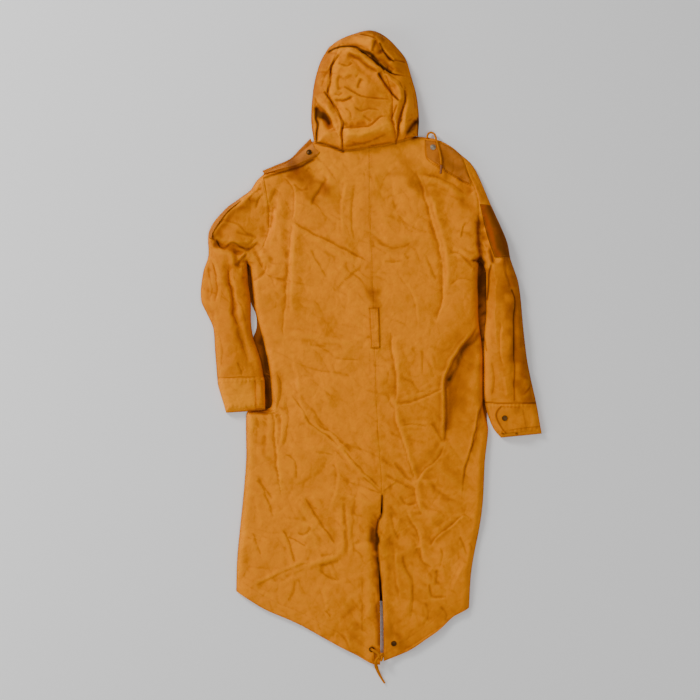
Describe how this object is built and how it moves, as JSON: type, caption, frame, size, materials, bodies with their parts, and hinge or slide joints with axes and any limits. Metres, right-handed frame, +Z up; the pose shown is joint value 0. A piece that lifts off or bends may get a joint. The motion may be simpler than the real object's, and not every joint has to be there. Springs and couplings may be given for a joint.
{
  "type": "hooded parka",
  "caption": "Long hooded parka of heavy waxed-look cotton with a split pointed tail, shoulder straps, arm patches and snap cuffs, laid face down.",
  "frame": {"origin": "on the surface the garment lies on, under the middle of its outline, cords left out", "axes": "+X to the viewer's right across the back, +Y from the hem to the hood, +Z up, out of the back"},
  "size_m": [0.7552, 1.4489, 0.0551],
  "materials": {
    "cotton": "dry waxed look, matt",
    "patch_cotton": "matt brushed",
    "bronze": "darkened, satin",
    "leather": "satin"
  },
  "bodies": {
    "root": {"back_left": "cotton", "back_right": "cotton", "front_left": "cotton", "front_right": "cotton", "front_fly": "cotton", "sleeve_left": "cotton", "sleeve_right": "cotton", "sleeve_left_under": "cotton", "sleeve_right_under": "cotton", "cuff_left": "cotton", "cuff_right": "cotton", "cuff_tab_left": "cotton", "cuff_tab_right": "cotton", "hood_centre": "cotton", "hood_left": "cotton", "hood_right": "cotton", "hood_visor": "cotton", "shoulder_strap_left": "cotton", "shoulder_strap_right": "cotton", "back_loop": "cotton", "arm_patch_left": "patch_cotton", "arm_patch_right": "patch_cotton", "strap_snap_left": "bronze", "strap_snap_right": "bronze", "cuff_snap_right": "bronze", "tail_snap": "bronze", "hem_eyelet": "bronze", "hood_cord": "cotton", "hood_cord_tip": "leather", "hem_cord": "cotton"}
  },
  "joints": []
}
